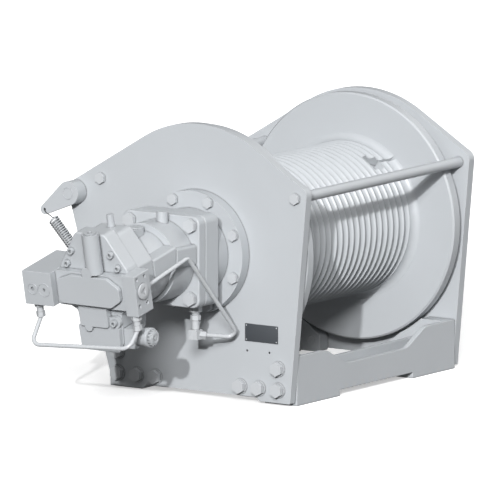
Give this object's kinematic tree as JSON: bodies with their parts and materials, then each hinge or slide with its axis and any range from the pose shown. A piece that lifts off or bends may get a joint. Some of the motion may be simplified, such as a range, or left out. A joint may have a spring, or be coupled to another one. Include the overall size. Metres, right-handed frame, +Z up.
{
  "type": "hydraulic winch with rope drum",
  "caption": "Hydraulic winch: a bare grooved rope drum between two side plates on base beams, with a bent-axis motor and valve block outside and a sprung rope press behind.",
  "frame": {"origin": "centre of the rectangle of the base beams' mounting holes, on their bottom faces", "axes": "+X along the drum axis away from the motor, +Y from the open front to the rope press at the back, +Z up"},
  "size_m": [1.2365, 0.7508, 0.664],
  "materials": {
    "frame_paint": "semi-matte light grey paint",
    "drum_paint": "semi-matte light grey paint",
    "motor_paint": "cast surface in light grey paint",
    "bolt_steel": "painted over with the frame",
    "tube_steel": "smooth light grey",
    "spring_steel": "light grey"
  },
  "bodies": {
    "root": {"motor_side_plate": "frame_paint", "far_side_plate": "frame_paint", "front_base_beam": "frame_paint", "rear_base_beam": "frame_paint", "base_bolts": "bolt_steel", "front_tie_rod": "frame_paint", "rear_tie_rod": "frame_paint", "tie_rod_bolts": "bolt_steel", "gearbox_hub": "frame_paint", "ring_bolts": "bolt_steel", "far_stub_axle": "frame_paint", "cover_bolts": "bolt_steel", "gearbox_neck": "frame_paint", "motor_front_housing": "motor_paint", "motor_bolts": "bolt_steel", "motor_rear_housing": "motor_paint", "motor_end_cap": "motor_paint", "valve_cover": "motor_paint", "valve_body": "motor_paint", "left_port_block": "motor_paint", "right_port_block": "motor_paint", "lower_valve_body": "motor_paint", "solenoid_block": "motor_paint", "solenoid": "motor_paint", "solenoid_nut": "motor_paint", "bore_plug": "bolt_steel", "cap_screws": "bolt_steel", "port_plugs": "bolt_steel", "ear_screw": "bolt_steel", "pilot_tube": "tube_steel", "pilot_unions": "tube_steel", "drain_tube": "tube_steel", "drain_elbow": "tube_steel", "spring_anchor": "spring_steel", "extension_spring": "spring_steel"},
    "drum": {"drum_barrel": "drum_paint", "drum_flange_motor_side": "drum_paint", "drum_flange_far_side": "drum_paint", "drum_hub_motor_side": "drum_paint", "drum_hub_far_side": "drum_paint"},
    "rope_press": {"press_shaft": "spring_steel", "spring_lever": "frame_paint", "press_arms": "frame_paint", "roller_pin": "spring_steel"},
    "press_roller": {"press_roller": "frame_paint"},
    "override_button": {"override_button": "motor_paint"}
  },
  "joints": [
    {"name": "drum_spin", "type": "hinge", "parent": "root", "child": "drum", "pos_m": [0, 0, 0.356], "axis": [1, 0, 0], "continuous": true},
    {"name": "rope_press_swing", "type": "hinge", "parent": "root", "child": "rope_press", "pos_m": [0, 0.356, 0.468], "axis": [1, 0, 0], "range_deg": [0, 30], "stiffness_Nm_per_rad": 60, "springref_deg": -57.3, "deforming": ["extension_spring"]},
    {"name": "press_roller_spin", "type": "hinge", "parent": "rope_press", "child": "press_roller", "pos_m": [0, 0.21197, 0.34409], "axis": [1, 0, 0], "continuous": true},
    {"name": "override_push", "type": "slide", "parent": "root", "child": "override_button", "axis": [0, 1, 0], "range_m": [0, 0.003], "stiffness_N_per_m": 800}
  ]
}
